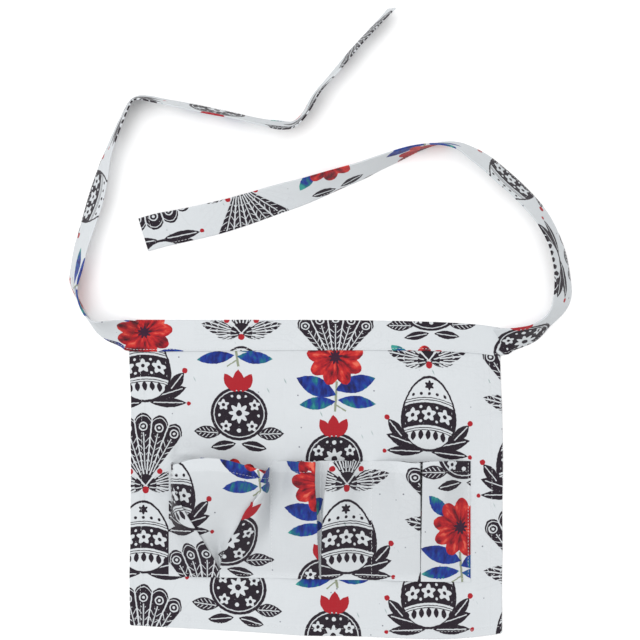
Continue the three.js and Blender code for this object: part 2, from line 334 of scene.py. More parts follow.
# Creases and soft ridges: from point to point, width, height. Millimetres.
PANEL_CREASES = table(
    "x0 y0 x1 y1 width height",
    [
        (37, 134, 42, 120, 2.8, 1.8),
        (46, 130, 66, 131, 3.0, 1.4),
        (43, 136, 60, 137, 2.6, -1.0),
        (90, 118, 150, 128, 12.0, 1.6),
        (240, 60, 300, 84, 18.0, 1.2),
        (60, 70, 110, 52, 20.0, 1.1),
        (150, 270, 210, 288, 14.0, 1.2),
        (300, 268, 345, 288, 12.0, 1.0),
        (20, 200, 26, 262, 9.0, 0.9),
        (340, 130, 346, 210, 8.0, 1.0),
        (180, 50, 196, 108, 10.0, 0.7),
    ],
)
POCKET_CREASES = table(
    "x0 y0 x1 y1 width height",
    [
        (182, 114, 175, 84, 4.4, -1.6),
        (196, 115, 188, 84, 5.0, 2.4),
        (206, 114, 197, 86, 3.4, -1.2),
        (216, 113, 210, 84, 4.0, 1.2),
        (117, 16, 134, 50, 4.0, -1.2),
        (134, 50, 143, 92, 4.5, -1.0),
        (292, 106, 300, 60, 6.0, 0.7),
        (352, 108, 360, 74, 4.5, 0.8),
        (478, 104, 470, 66, 5.0, 0.8),
        (20, 14, 44, 40, 5.0, 1.0),
        (146, 12, 118, 44, 5.0, 1.1),
        (152, 26, 132, 58, 4.5, -0.8),
        (60, 92, 100, 84, 9.0, 0.9),
    ],
)
BAND_CREASES = table(
    "x0 y0 x1 y1 width height",
    [
        (974, 25, 980, 10, 1.6, -0.8),
        (978, 26, 984, 12, 1.4, 0.6),
        (560, 4, 566, 16, 2.4, 0.35),
        (1030, 18, 1042, 32, 2.2, 0.5),
        (1046, 16, 1060, 30, 2.2, -0.5),
    ],
)


def crease_lift(creases, x, y):
    """Sum over the creases of height times a bell of the distance to the crease's segment."""
    lift = np.zeros(np.broadcast(x, y).shape)
    for x0, y0, x1, y1, width, height in zip(*creases.values()):
        along = ((x - x0) * (x1 - x0) + (y - y0) * (y1 - y0)) / ((x1 - x0) ** 2 + (y1 - y0) ** 2)
        along = np.clip(along, 0, 1)
        away = np.hypot(x - x0 - along * (x1 - x0), y - y0 - along * (y1 - y0))
        lift += height * np.exp(-((away / width) ** 2)) * (1 - 0.6 * np.abs(2 * along - 1) ** 3)
    return lift


def ripple(x, y, size, seed):
    """Soft unevenness between -1 and 1: four crossing sines whose waves are about `size` long."""
    total = 0.0
    for turn, stretch, phase in ((0.3, 1.0, 0.0), (1.4, 0.81, 1.7), (2.5, 1.23, 4.1), (3.4, 0.67, 2.3)):
        wave = x * np.cos(turn + seed) + y * np.sin(turn + seed)
        total = total + np.sin(2 * np.pi * wave / (size * stretch) + phase + 3 * seed)
    return total / 4


# Meshes


def grid_normals(grid):
    """Unit normals of a grid of points, from the cross product of its two central differences."""
    normal = np.cross(np.gradient(grid, axis=1), np.gradient(grid, axis=0))
    return normal / np.maximum(np.linalg.norm(normal, axis=2, keepdims=True), 1e-12)


def new_mesh(name, points, faces, material, smooth=True):
    """A mesh object from points in millimetres and an array of faces, with its place in its mesh."""
    mesh = bpy.data.meshes.new(name)
    mesh.from_pydata((points * 0.001).tolist(), [], faces.tolist())
    mesh.polygons.foreach_set("use_smooth", np.full(len(faces), smooth))
    mesh.update()
    mesh.materials.append(material)
    made = bpy.data.objects.new(name, mesh)
    bpy.context.collection.objects.link(made)
    return made


def cloth_piece(name, middle, cloth, thickness, material, single_ply_shade=0.0):
    """A closed wall of cloth: every point of the middle surface moved half the thickness to both
    sides along the normal, and the four borders joined. `cloth` holds each point's place on the flat
    cloth, kept as an attribute whose third number is 1 on the back and 0 on the face; on the face
    where one ply spans a hollow it is minus the last argument, the share of painted shade that
    darkens that ply."""
    rows, columns = middle.shape[:2]
    offset = grid_normals(middle) * thickness / 2
    points = np.concatenate([middle + offset, middle - offset]).reshape(-1, 3)
    index = np.arange(rows * columns).reshape(rows, columns)
    back = index + rows * columns
    a, b, c, d = index[:-1, :-1], index[:-1, 1:], index[1:, 1:], index[1:, :-1]
    faces = [np.stack([a, b, c, d], -1).reshape(-1, 4)]
    faces.append(faces[0][:, ::-1] + rows * columns)
    for front_line, back_line in (
        (index[0], back[0]),
        (index[:, -1], back[:, -1]),
        (index[-1, ::-1], back[-1, ::-1]),
        (index[::-1, 0], back[::-1, 0]),
    ):
        faces.append(
            np.stack([front_line[1:], front_line[:-1], back_line[:-1], back_line[1:]], -1)
        )
    made = new_mesh(name, points, np.concatenate(faces), material)
    made.data.set_sharp_from_angle(angle=np.radians(55))
    flat = np.zeros((2, rows, columns, 3))
    flat[..., :2] = cloth
    flat[0, ..., 2] = -single_ply_shade
    flat[1, ..., 2] = 1
    made.data.attributes.new("cloth", "FLOAT_VECTOR", "POINT").data.foreach_set(
        "vector", flat.reshape(-1)
    )
    return made


def on_grid(grid, row, column):
    """Values of a grid at fractional rows and columns, straight between its points."""
    r = np.clip(np.floor(row).astype(int), 0, grid.shape[0] - 2)
    c = np.clip(np.floor(column).astype(int), 0, grid.shape[1] - 2)
    s, t = (row - r)[:, None], (column - c)[:, None]
    return (
        grid[r, c] * (1 - s) * (1 - t)
        + grid[r, c + 1] * (1 - s) * t
        + grid[r + 1, c] * s * (1 - t)
        + grid[r + 1, c + 1] * s * t
    )


def stitches_on(grid, row, column, thickness, length=2.5, gap=0.75):
    """Places of the stitches of one seam: the line through these rows and columns of the grid is
    measured, cut into stitches, and each gets a middle, a direction and a normal."""
    line = on_grid(grid, row, column)
    normal = on_grid(grid_normals(grid), row, column)
    line = line + normal * thickness / 2
    run = np.concatenate([[0], np.cumsum(np.linalg.norm(np.diff(line, axis=0), axis=1))])
    count = max(1, int(run[-1] / (length + gap)))
    ends = (np.arange(count) + 0.5) * run[-1] / count

    def at(values, where):
        return np.stack([np.interp(where, run, values[:, k]) for k in range(3)], -1)

    half = length / 2
    along = at(line, ends + half) - at(line, ends - half)
    return at(line, ends), along, at(normal, ends)


def thread_piece(name, places, material, thick=THREAD):
    """Stitches as short bent rods of six sides: each ring of a rod is moved along the stitch, dips
    into the cloth by a parabola towards both ends, and narrows there."""
    middle, along, up = (np.concatenate(part) for part in zip(*places))
    length = np.linalg.norm(along, axis=1, keepdims=True)
    along = along / np.maximum(length, 1e-9)
    up = up - along * (up * along).sum(1, keepdims=True)
    up = up / np.linalg.norm(up, axis=1, keepdims=True)
    across = np.cross(along, up)
    station = np.array([-0.5, -0.36, 0.0, 0.36, 0.5])
    radius = np.array([0.45, 0.95, 1.0, 0.95, 0.45]) * thick / 2
    lift = thick * (0.35 - 3.6 * station**2)
    turn = np.arange(6) * np.pi / 3
    ring = (
        up[:, None, None] * (lift[:, None, None] + (radius[:, None] * np.sin(turn))[..., None])
        + across[:, None, None] * (radius[:, None] * np.cos(turn))[..., None]
        + along[:, None, None] * length[:, None, None] * station[:, None, None]
    )
    points = (middle[:, None, None] + ring).reshape(-1, 3)
    points[:, 2] = np.maximum(points[:, 2], 0.05)
    k = np.arange(6)
    ring_faces = np.stack([k, k + 6, (k + 1) % 6 + 6, (k + 1) % 6], -1)
    sides = np.concatenate([ring_faces + 6 * i for i in range(4)])
    start, end = np.array([[0, 1, 4, 5], [1, 2, 3, 4]]), np.array([[29, 28, 25, 24], [28, 27, 26, 25]])
    one = np.concatenate([sides, start, end])
    faces = (one + 30 * np.arange(len(middle))[:, None, None]).reshape(-1, 4)
    return new_mesh(name, points, faces, material)


# Panel


def panel_place(across, down):
    """x and y on the panel, from millimetres across from its left edge and down from its top. Its
    outline comes from the two tables, blended straight from side to side and from top to bottom."""
    a, d = across / PANEL_WIDTH, down / PANEL_HEIGHT
    out_left, out_right = (read(PANEL_SIDES, "down", side, d) for side in ("left", "right"))
    upper, lower = (read(PANEL_ENDS, "across", edge, a) for edge in ("upper", "lower"))
    x = LEFT_TOP[0] + across - out_left * (1 - a) + out_right * a
    return x, LEFT_TOP[1] - down - upper * (1 - d) - lower * d


def panel_rise(across, down):
    """Height of the panel's middle surface: soft waves and creases over the floor, calmer behind
    the pockets, and a ramp up into the middle of the waistband."""
    waves = 0.75 + 0.6 * ripple(across, down, 150, 0.0) + 0.25 * ripple(across, down, 62, 1.0)
    waves = waves + crease_lift(PANEL_CREASES, across, down)
    behind_across = ease(across, 24, 44) * (1 - ease(across, 320, 342))
    behind_down = ease(down, 150, 168) * (1 - ease(down, 236, 262))
    waves = waves * (1 - 0.7 * behind_across * behind_down)
    in_band = 1 - ease(down, BAND_WIDTH - 2, BAND_WIDTH + 9)
    return 0.32 + np.maximum(waves, 0) * (1 - in_band) + 1.48 * in_band


def turned_edge(run, pitch):
    """A cloth turned back on itself at 0: from the flat run, how far inside the edge it lies, and how
    far under the upper ply. The turn is a half circle as wide as the pitch."""
    radius = pitch / 2
    quarter = radius * np.pi / 2
    angle = np.clip(run / radius, -np.pi / 2, np.pi / 2)
    inside = radius * (1 - np.cos(angle)) + np.maximum(np.abs(run) - quarter, 0)
    return inside, radius * (1 - np.sin(angle))


def make_panel(material):
    """The panel's grid: flat stations across and down, with its side and lower hems turned under."""
    pitch = PANEL_TURN
    turn = np.linspace(-1.6, 1.6, 9) * pitch / 2
    edge = np.concatenate([[-SIDE_HEM, -9, -6, -3, -1.2], turn, np.arange(1.4, 16, 1.0)])
    inner = np.arange(17, PANEL_WIDTH / 2, 2.2)
    half = np.concatenate([edge, inner])
    across = np.concatenate([half, [PANEL_WIDTH / 2], PANEL_WIDTH - half[::-1]])
    lower = np.concatenate([[-LOWER_HEM, -6, -3, -1.2], turn, np.arange(1.4, 12, 1.0)])
    down = np.concatenate(
        [
            np.arange(3, BAND_WIDTH - 3, 4.0),
            np.arange(BAND_WIDTH - 3, BAND_WIDTH + 13, 1.0),
            np.arange(BAND_WIDTH + 14, PANEL_HEIGHT - 13, 2.2),
            PANEL_HEIGHT - lower[::-1],
        ]
    )[::-1]
    across, down = np.meshgrid(across, down)
    left, left_drop = turned_edge(across, pitch)
    right, right_drop = turned_edge(PANEL_WIDTH - across, pitch)
    low, low_drop = turned_edge(PANEL_HEIGHT - down, pitch)
    in_left = across < PANEL_WIDTH / 2
    place_across = np.where(in_left, left, PANEL_WIDTH - right)
    side_drop = np.where(in_left, left_drop, right_drop)
    place_down = np.where(down > PANEL_HEIGHT / 2, PANEL_HEIGHT - low, down)
    lower_drop = np.where(down > PANEL_HEIGHT / 2, low_drop, 0)
    from_side = np.minimum(place_across, PANEL_WIDTH - place_across)
    from_low = PANEL_HEIGHT - place_down
    out_of_band = ease(place_down, BAND_WIDTH + 2, BAND_WIDTH + 8)
    side_hem = (1 - ease(from_side, SIDE_HEM, SIDE_HEM + 1.6)) * out_of_band
    lower_hem = 1 - ease(from_low, LOWER_HEM, LOWER_HEM + 1.6)
    lift = pitch * (side_hem + lower_hem)
    pucker = ripple(place_down, place_across, 19, 0.4) * np.exp(-(((from_side - 9) / 6) ** 2))
    pucker = pucker + ripple(place_across, place_down, 23, 2.0) * np.exp(-(((from_low - 6) / 5) ** 2))
    groove = np.exp(-(((from_side - SIDE_STITCH) / 0.9) ** 2)) * side_hem
    groove = groove + np.exp(-(((from_low - LOWER_STITCH) / 0.9) ** 2))
    x, y = panel_place(place_across, place_down)
    x = x + 0.5 * ripple(place_down, 0 * x, 90, 0.2) * (1 - ease(from_side, 0, 30)) * out_of_band
    y = y + 0.5 * ripple(place_across, 0 * x, 110, 0.9) * (1 - ease(from_low, 0, 30))
    z = panel_rise(place_across, place_down) + lift - 0.28 * groove
    z = z + 0.3 * np.maximum(pucker + 0.4, 0) * out_of_band
    z = z - (side_drop * out_of_band + 0.25 * side_drop * (1 - out_of_band)) - lower_drop
    grid = np.stack([x, y, np.maximum(z, CLOTH / 2)], -1)
    cloth = np.stack([across, -down], -1) + PANEL_PRINT
    panel = cloth_piece("printed_panel", grid, cloth, CLOTH, material)
    return panel, grid, across[0], down[:, 0]


# Pockets


def bezier(points, share):
    """Cubic curves: four control points weighted by Bernstein's polynomials of the share."""
    rest = 1 - share
    weight = np.stack([rest**3, 3 * rest**2 * share, 3 * rest * share**2, share**3], -1)
    return weight @ points


def bezier_frame(points, share):
    """Unit direction of the same curves and the unit normal on their upper side."""
    rest = 1 - share
    weight = np.stack([rest**2, 2 * rest * share, share**2], -1)
    way = weight @ (points[:, 1:] - points[:, :-1])
    way = way / np.linalg.norm(way, axis=2, keepdims=True)
    return way, np.stack([-way[..., 1], way[..., 0]], -1)


def run_along(points):
    """Length along each row of points, from its first."""
    step = np.linalg.norm(np.diff(points, axis=1), axis=2)
    return np.concatenate([np.zeros((len(points), 1)), np.cumsum(step, axis=1)], axis=1)


def half_section(full, rows, side, up, margin):
    """Half of a pocket's section at each height, from its seam to the middle of its pleat. The front
    ply is a curve from the seam to the fold; the ply under it runs back parallel to it for the
    tuck, and the third returns and crosses to the middle. Where the pleat is spread these points
    move to the same shares of a squarish arch. Returns the points and their places on the cloth."""
    half = POCKET_WIDTH / 2 - margin
    crease = half * np.clip(read(rows, "up", side, up), 0.015, 0.96)
    rise, crown = (full * read(rows, "up", column, up) for column in ("rise", "crown"))
    reach, lift = (read(rows, "up", column, up) for column in ("reach", "lift"))
    pitch = PLY * (1 + 1.1 * up)
    fold = 2 * pitch + rise
    run = half - crease
    zero = 0 * up

    def control(*places):
        return np.stack([np.stack([x + zero, z + zero], -1) for x, z in places], 1)

    front = control(
        (-half, 0),
        (-half + run * reach, fold * lift),
        (-crease - run * 0.55, fold),
        (-crease, fold),
    )
    fine = np.tile(np.linspace(0, 1, 80), (len(up), 1))
    length = run_along(bezier(front, fine))
    tuck = np.minimum(PLEAT_DEPTH * read(rows, "up", "tuck", up), 0.6 * length[:, -1])
    turn_at = np.array(
        [np.interp(row[-1] - t, row, fine[0]) for row, t in zip(length, tuck)]
    )[:, None]
    depth = pitch[:, None, None]

    def ply(share, plies):
        return bezier(front, share) - depth * plies * bezier_frame(front, share)[1]

    def turn(share, plies, way_out):
        angle = np.linspace(0, np.pi, 9)[1:-1][:, None]
        way, normal = bezier_frame(front, share)
        radius = depth / 2
        return ply(share, plies) + radius * (normal * np.cos(angle) + way_out * way * np.sin(angle))

    def shares(start, end, count):
        return start + (end - start) * np.linspace(0, 1, count)

    one = np.ones((len(up), 1))
    low = fold - 2 * pitch
    under = control((-crease, low), (-crease * 0.66, low), (-crease * 0.33, crown), (0, crown))
    folded = np.concatenate(
        [
            ply(shares(0 * one, one, FRONT_COLUMNS), 0),
            turn(one, 0.5, 1),
            ply(shares(one, turn_at, 12), 1),
            turn(turn_at, 1.5, -1),
            ply(shares(turn_at, one, 10), 2),
            bezier(under, shares(0 * one, one, 20)[:, 1:]),
        ],
        axis=1,
    )
    share = run_along(folded)
    share = share / share[:, -1:]
    corner = (-half * 0.84, fold + (crown - fold) * 0.6)
    wall = control((-half, 0), (-half - 0.3, fold * 0.4), (-half * 0.97, fold * 0.9), corner)
    roof = control(corner, (-half * 0.66, crown), (-half * 0.3, crown), (0, crown))
    arch = np.concatenate([bezier(wall, fine)[:, :-1], bezier(roof, fine)], axis=1)
    arch_share = run_along(arch)
    arch_share = arch_share / arch_share[:, -1:]
    spread = np.stack(
        [
            np.stack([np.interp(s, a, p[:, k]) for k in range(2)], -1)
            for s, a, p in zip(share, arch_share, arch)
        ]
    )
    open_share = np.clip(read(rows, "up", "open", up), 0, 1)[:, None, None]
    return folded + (spread - folded) * open_share, (share - 1) * POCKET_FLAT / 2


def make_pockets(material):
    """The strip's grid: sections of the three pockets side by side at each height, set on the panel,
    then its upper hem turned in as rows that run back down inside."""
    up = np.concatenate([np.linspace(0, 0.12, 8)[:-1], np.linspace(0.12, 1, 46)])
    points, flat = [], []
    for number, (full, rows) in enumerate(POCKETS):
        left_margin, right_margin = (SEAM_FLAT if number == end else 1.0 for end in (0, 2))
        left, left_flat = half_section(full, rows, "left", up, left_margin)
        right, right_flat = half_section(full, rows, "right", up, right_margin)
        right = right[:, ::-1] * [-1, 1]
        centre = number + 0.5
        points.append(np.concatenate([left, right[:, 1:]], 1) + [centre * POCKET_WIDTH, 0])
        flat.append(np.concatenate([left_flat, -right_flat[:, -2::-1]], 1) + centre * POCKET_FLAT)
    edge = np.arange(float(SEAM_FLAT))
    first = points[0][:, :1] * [0, 1] + np.stack([edge, 0 * edge], -1)
    last = points[-1][:, -1:] * [0, 1] + np.stack([3 * POCKET_WIDTH - edge[::-1], 0 * edge], -1)
    points = np.concatenate([first, *points, last], 1)
    first_flat, last_flat = flat[0][:, :1] + edge - SEAM_FLAT, flat[-1][:, -1:] + SEAM_FLAT - edge[::-1]
    flat = np.concatenate([first_flat, *flat, last_flat], 1)
    up = up[:, None] + 0 * flat
    along = points[..., 0] / (3 * POCKET_WIDTH)
    widen = np.maximum(1 - points[..., 0] / POCKET_WIDTH, 0) * FIRST_POCKET_GAIN
    x = LEFT_TOP[0] + POCKET_INSET + points[..., 0] - widen
    depth = POCKET_DEPTH + POCKET_DEPTH_GAIN * along
    drop = read(MOUTH, "along", "drop", along)
    y = LEFT_TOP[1] - POCKET_TOP - depth * (1 - up) - drop * up**4
    lift = crease_lift(POCKET_CREASES, flat, up * POCKET_DEPTH)
    lift = lift + 0.35 * up * ripple(flat, up * POCKET_DEPTH, 46, 0.7)
    over_seam = ease(points[..., 1], 0.5, 3.0)
    z = panel_rise(POCKET_INSET + points[..., 0], LEFT_TOP[1] - y) + CLOTH + 0.12
    z = z + points[..., 1] + lift * over_seam
    grid = np.stack([x, y, z], -1)
    normal = grid_normals(grid)
    pitch = POCKET_TURN
    angle = np.linspace(0, np.pi, 7)[1:-1][:, None, None]
    outward = grid[-1] - grid[-2]
    outward = outward / np.linalg.norm(outward, axis=1, keepdims=True)
    lip = grid[-1] + pitch / 2 * (outward * np.sin(angle) - normal[-1] * (1 - np.cos(angle)))
    hem = up[:, 0] >= 1 - POCKET_HEM / POCKET_DEPTH
    inside = (grid - normal * pitch)[hem][::-1]
    grid = np.concatenate([grid, lip, inside])
    down_hem = 1 + (1 - up[hem][::-1])
    height = np.concatenate([up, np.ones((5, 1)) + 0 * flat[:5], down_hem]) * POCKET_DEPTH
    hem_start = POCKET_DEPTH - POCKET_HEM
    # Share of painted shade on the one ply that spans the pocket's hollow, between the lower seam and
    # the hem; the cotton darkens it a little.
    single_ply_shade = ease(height, 2, 8) * (1 - ease(height, hem_start - 1, hem_start + 1))
    flat = np.concatenate([flat, flat[-1:] + 0 * lip[..., 0], flat[hem][::-1]])
    cloth = np.stack([flat, height], -1) + POCKET_PRINT
    strip = cloth_piece("pocket_strip", grid, cloth, CLOTH, material, single_ply_shade)
    return strip, grid, flat[0], up[:, 0]


# Waistband and ties


def tie_course(rows, length, corner, count=COURSE_STEPS):
    """Middle line of a tie on the floor, from its seen places and widths: equal steps along a cubic
    through the places, smoothed over about 7 mm. The middle lies half the tie's rise above the floor,
    so it looks further from the camera's axis by that height's share of the camera's own. By the
    same rule the seen width is the tie's width times the cosine of its lean, plus the upper edge's
    shift, which gives the lean. Returns x, y, heading and lean at every step, angles in radians."""
    seen = corner - CAMERA_OVER + np.stack([rows["right"], rows["up"]], -1)
    chord = np.concatenate([[0], np.cumsum(np.hypot(*np.diff(seen, axis=0).T))])
    rows = {"run": chord, "x": seen[:, 0], "y": seen[:, 1], "wide": rows["wide"]}
    run = np.linspace(0, chord[-1], 8 * count + 1)
    x, y, wide = (read(rows, "run", column, run) for column in ("x", "y", "wide"))
    heading = np.unwrap(np.arctan2(np.gradient(y), np.gradient(x)))
    tilt = (y * np.cos(heading) - x * np.sin(heading)) / CAMERA_HEIGHT
    lean = np.arctan(tilt) + np.arccos(np.clip(wide / TIE_WIDTH / np.hypot(1, tilt), -1, 1))
    nearer = 1 - TIE_WIDTH / 2 * np.sin(lean) / CAMERA_HEIGHT
    x, y = x * nearer, y * nearer
    heading = np.unwrap(np.arctan2(np.gradient(y), np.gradient(x)))
    arc = np.concatenate([[0], np.cumsum(np.hypot(np.diff(x), np.diff(y)))])
    kernel = np.hanning(9)[1:-1]
    kernel = kernel / kernel.sum()

    def smooth(values):
        values = np.interp(np.linspace(0, arc[-1], count + 1), arc, values)
        return np.convolve(np.pad(values, 3, mode="edge"), kernel, mode="valid")

    heading, lean = smooth(heading), smooth(lean)
    lean[0] = 0.0
    middle = (heading[1:] + heading[:-1]) / 2
    step = length / count
    x = corner[0] + np.concatenate([[0], np.cumsum(np.cos(middle) * step)])
    y = corner[1] - TIE_WIDTH / 2 + np.concatenate([[0], np.cumsum(np.sin(middle) * step)])
    return x, y, heading, lean


def strip_section(width, inner, outer, fold):
    """Section of the folded strip, for each station: distance from the stitched edge and height over
    the strip's middle. It starts at the end of the turned-in front ply, rounds the edge in a half
    circle, crosses on the face, rounds the fold and comes back the same way."""
    one = np.ones_like(width)[:, None]
    width, inner, outer, fold = (value[:, None] for value in (width, inner, outer, fold))
    angle = np.linspace(0, np.pi, 6)[1:-1]
    radius = (outer - inner) / 2
    in_ply = np.linspace(TURNED_IN, 0.3, 5)
    face = np.linspace(0, 1, 17)
    across_face = radius + (width - fold - radius) * face
    thin = ease(across_face, TURNED_IN - 0.5, TURNED_IN + 2.5)
    soft = 0.22 * np.sin(np.pi * face) ** 2
    level = outer + (fold - outer) * thin + soft
    round_fold = np.linspace(0, np.pi, 9)[1:-1]
    half_edge = np.concatenate([in_ply * one, radius - radius * np.sin(angle), across_face], 1)
    half_level = np.concatenate(
        [inner + 0 * in_ply * one, (inner + outer) / 2 - radius * np.cos(angle), level], 1
    )
    edge = np.concatenate([half_edge, width - fold + fold * np.sin(round_fold), half_edge[:, ::-1]], 1)
    height = np.concatenate([half_level, fold * np.cos(round_fold), -half_level[:, ::-1]], 1)
    return edge, height


def make_strip(material):
    """The strip's grid: both courses and the straight waistband as one line of stations from the
    right tie's end to the left tie's, with the folded section set across each, turned by the lean.
    The strip stands on its lower edge wherever it leans."""
    top_left = LEFT_TOP
    top_right = LEFT_TOP + [PANEL_WIDTH, -PANEL_ENDS["upper"][-1]]
    left = tie_course(TIE_LEFT, TIE_LEFT_LENGTH, top_left + [-CORNER_GAP, 0])
    right = tie_course(TIE_RIGHT, TIE_RIGHT_LENGTH, top_right + [CORNER_GAP, 0])
    count = len(left[0])
    share = np.linspace(0, 1, BAND_STATIONS + 2)[1:-1]
    upper = read(PANEL_ENDS, "across", "upper", share)
    slope = -np.arctan(np.gradient(upper, share * PANEL_WIDTH))
    band = BAND_WIDTH - BAND_TAPER * share
    left_width, right_width = (
        TIE_WIDTH + (start - TIE_WIDTH) * (1 - ease(np.arange(count), 0, steps))
        for start, steps in ((BAND_WIDTH, 20), (BAND_WIDTH - BAND_TAPER, 26))
    )
    width = np.concatenate([left_width[::-1], band, right_width])
    x = np.concatenate([left[0][::-1], top_left[0] + (top_right[0] - top_left[0]) * share, right[0]])
    band_y = top_left[1] - upper - TIE_WIDTH / 2
    y = np.concatenate([left[1][::-1], band_y, right[1]])
    heading = np.concatenate([left[2][::-1] - np.pi, slope, right[2]])
    lean = np.concatenate([left[3][::-1], 0 * share, right[3]])
    y = y + (TIE_WIDTH - width) / 2 * np.cos(lean)
    station = np.arange(len(x))
    band_end = count + BAND_STATIONS
    in_band = ease(station, count - 8, count + 2) * (1 - ease(station, band_end - 2, band_end + 8))
    inner, outer = 0.3 + 0.6 * in_band, 0.85 + 0.6 * in_band
    fold = 0.45 + 0.6 * in_band
    edge, height = strip_section(width, inner, outer, fold)
    run = np.concatenate([[0], np.cumsum(np.hypot(np.diff(x), np.diff(y)))])
    cross = np.concatenate([[0], np.cumsum(np.hypot(np.diff(edge[0]), np.diff(height[0])))])
    u, v = run[:, None] + 0 * edge, cross[None] + 0 * edge
    on_face = (height > 0) & (v > TURNED_IN)
    height = height + np.where(on_face, crease_lift(BAND_CREASES, u, v - TURNED_IN), 0)
    height = height + np.sign(height) * 0.12 * ripple(u, v, 31, 0.5)
    level = np.stack([-np.sin(heading), np.cos(heading), 0 * heading], -1)
    upward = np.array([0, 0, 1.0])
    across = level * np.cos(lean)[:, None] + upward * np.sin(lean)[:, None]
    face = -level * np.sin(lean)[:, None] + upward * np.cos(lean)[:, None]
    stand = width / 2 * np.sin(lean) + (outer + STRIP_CLOTH / 2 + 0.08) * np.abs(np.cos(lean))
    middle = np.stack([x, y, stand], -1)
    grid = (
        middle[:, None]
        + across[:, None] * (edge - width[:, None] / 2)[..., None]
        + face[:, None] * height[..., None]
    )
    grid[..., 2] = np.maximum(grid[..., 2], STRIP_CLOTH / 2)
    grid, u, v = grid[::-1], u[::-1], v[::-1]
    cloth = np.stack([u, v], -1) + STRIP_PRINT
    return cloth_piece("folded_strip", grid, cloth, STRIP_CLOTH, material), grid


# Finishes


class Value:
    """A number in a material's node tree; its operators add Math nodes."""

    def __init__(self, nodes, socket):
        self.nodes, self.socket = nodes, socket

    def math(self, operation, *others, clamp=False):
        settings = {"operation": operation, "use_clamp": clamp}
        values = dict(enumerate((self, *others)))
        return Value(self.nodes, self.nodes.add("ShaderNodeMath", settings, values).outputs[0])

    def __add__(self, other):
        return self.math("ADD", other)

    def __sub__(self, other):
        return self.math("SUBTRACT", other)

    def __rsub__(self, other):
        return (self * -1.0).math("ADD", other)

    def __mul__(self, other):
        return self.math("MULTIPLY", other)

    def __truediv__(self, other):
        return self.math("DIVIDE", other)

    def __mod__(self, other):
        return self.math("FLOORED_MODULO", other)

    def __lt__(self, other):
        return self.math("LESS_THAN", other)

    def __gt__(self, other):
        return self.math("GREATER_THAN", other)

    def __abs__(self):
        return self.math("ABSOLUTE")

    def floor(self):
        return self.math("FLOOR")

    def cos(self):
        return self.math("COSINE")

    def sin(self):
        return self.math("SINE")

    def at_least(self, other):
        return self.math("MAXIMUM", other)

    def at_most(self, other):
        return self.math("MINIMUM", other)

    def long_side(self, other):
        return (self * self + other * other).math("SQRT")

    def turn_from(self, other):
        return self.math("ARCTAN2", other)

    def inside(self, soft=0.3):
        """1 where this signed distance is below zero, with an edge `soft` wide."""
        return (self / -soft).math("ADD", 0.5, clamp=True)

    def share(self, low, high):
        """0 at low, 1 at high, straight between."""
        return ((self - low) / (high - low)).math("ADD", 0.0, clamp=True)


class Nodes:
    """One material's nodes. `add` makes any node from its type, its settings, set first, and the
    values or links of its sockets."""

    def __init__(self, name):
        self.material = bpy.data.materials.new(name)
        self.material.use_nodes = True
        self.tree = self.material.node_tree
        self.shader = self.tree.nodes["Principled BSDF"]

    def add(self, kind, settings=None, values=None):
        node = self.tree.nodes.new(kind)
        for key, setting in (settings or {}).items():
            setattr(node, key, setting)
        for key, value in (values or {}).items():
            self.put(node.inputs[key], value)
        return node

    def put(self, socket, value):
        if isinstance(value, Value):
            self.tree.links.new(value.socket, socket)
        elif isinstance(value, bpy.types.NodeSocket):
            self.tree.links.new(value, socket)
        else:
            socket.default_value = value

    def attribute(self, name):
        return self.add("ShaderNodeAttribute", {"attribute_name": name}).outputs["Vector"]

    def parts(self, vector):
        node = self.add("ShaderNodeSeparateXYZ", None, {0: vector})
        return [Value(self, output) for output in node.outputs]

    def place(self, x, y, z=0.0):
        return self.add("ShaderNodeCombineXYZ", None, {0: x, 1: y, 2: z}).outputs[0]

    def noise(self, place, size, detail=3.0):
        values = {"Vector": place, "Scale": 1 / size, "Detail": detail}
        return Value(self, self.add("ShaderNodeTexNoise", None, values).outputs[0])

    def chance(self, place, seed):
        settings = {"noise_dimensions": "4D"}
        node = self.add("ShaderNodeTexWhiteNoise", settings, {"Vector": place, "W": seed})
        return Value(self, node.outputs["Value"])

    def mix(self, share, one, other):
        values = {0: share, 6: one, 7: other}
        return self.add("ShaderNodeMix", {"data_type": "RGBA"}, values).outputs[2]

    def ramp(self, value, *stops):
        """Colours along a value, from pairs of a place and an sRGB colour."""
        node = self.add("ShaderNodeValToRGB", None, {0: value})
        marks = node.color_ramp.elements
        while len(marks) < len(stops):
            marks.new(0.5)
        for mark, (place, colour) in zip(marks, stops):
            mark.position = place
            mark.color = paint(*colour)
        return node.outputs[0]

    def spots(self, place, size, chance, reach):
        """Spots in cells of one size: 1 within reach of a cell's point where its colour's chance is
        high enough, with a soft edge."""
        cells = self.add("ShaderNodeTexVoronoi", None, {"Vector": place, "Scale": 1 / size})
        chosen = Value(self, cells.outputs["Color"]) > chance
        return (Value(self, cells.outputs["Distance"]) * size - reach).inside(0.5) * chosen

    def bump(self, height, distance, normal=None):
        values = {"Height": height, "Distance": distance, "Strength": 1.0}
        if normal is not None:
            values["Normal"] = normal
        return self.add("ShaderNodeBump", None, values).outputs[0]

    def finish(self, values):
        """The material, with these values or links in its shader's sockets."""
        for key, value in values.items():
            self.put(self.shader.inputs[key], value)
        return self.material


def paint(red, green, blue):
    """An sRGB colour of 0 to 255 as the linear colour that a socket takes."""
    share = np.array([red, green, blue]) / 255
    linear = np.where(share <= 0.04045, share / 12.92, ((share + 0.055) / 1.055) ** 2.4)
    return (*linear.tolist(), 1.0)


def turned(x, y, x0, y0, angle):
    """Coordinates from a point, turned so that the first runs along the angle in degrees."""
    c, s = float(np.cos(np.radians(angle))), float(np.sin(np.radians(angle)))
    along_x, along_y = x - x0, y - y0
    return along_x * c + along_y * s, along_y * c - along_x * s


def oval(x, y, x0, y0, half_x, half_y):
    """Roughly the distance to an ellipse: its stretched radius less one, times its small half."""
    stretched = ((x - x0) / half_x).long_side((y - y0) / half_y)
    return (stretched - 1.0) * min(half_x, half_y)


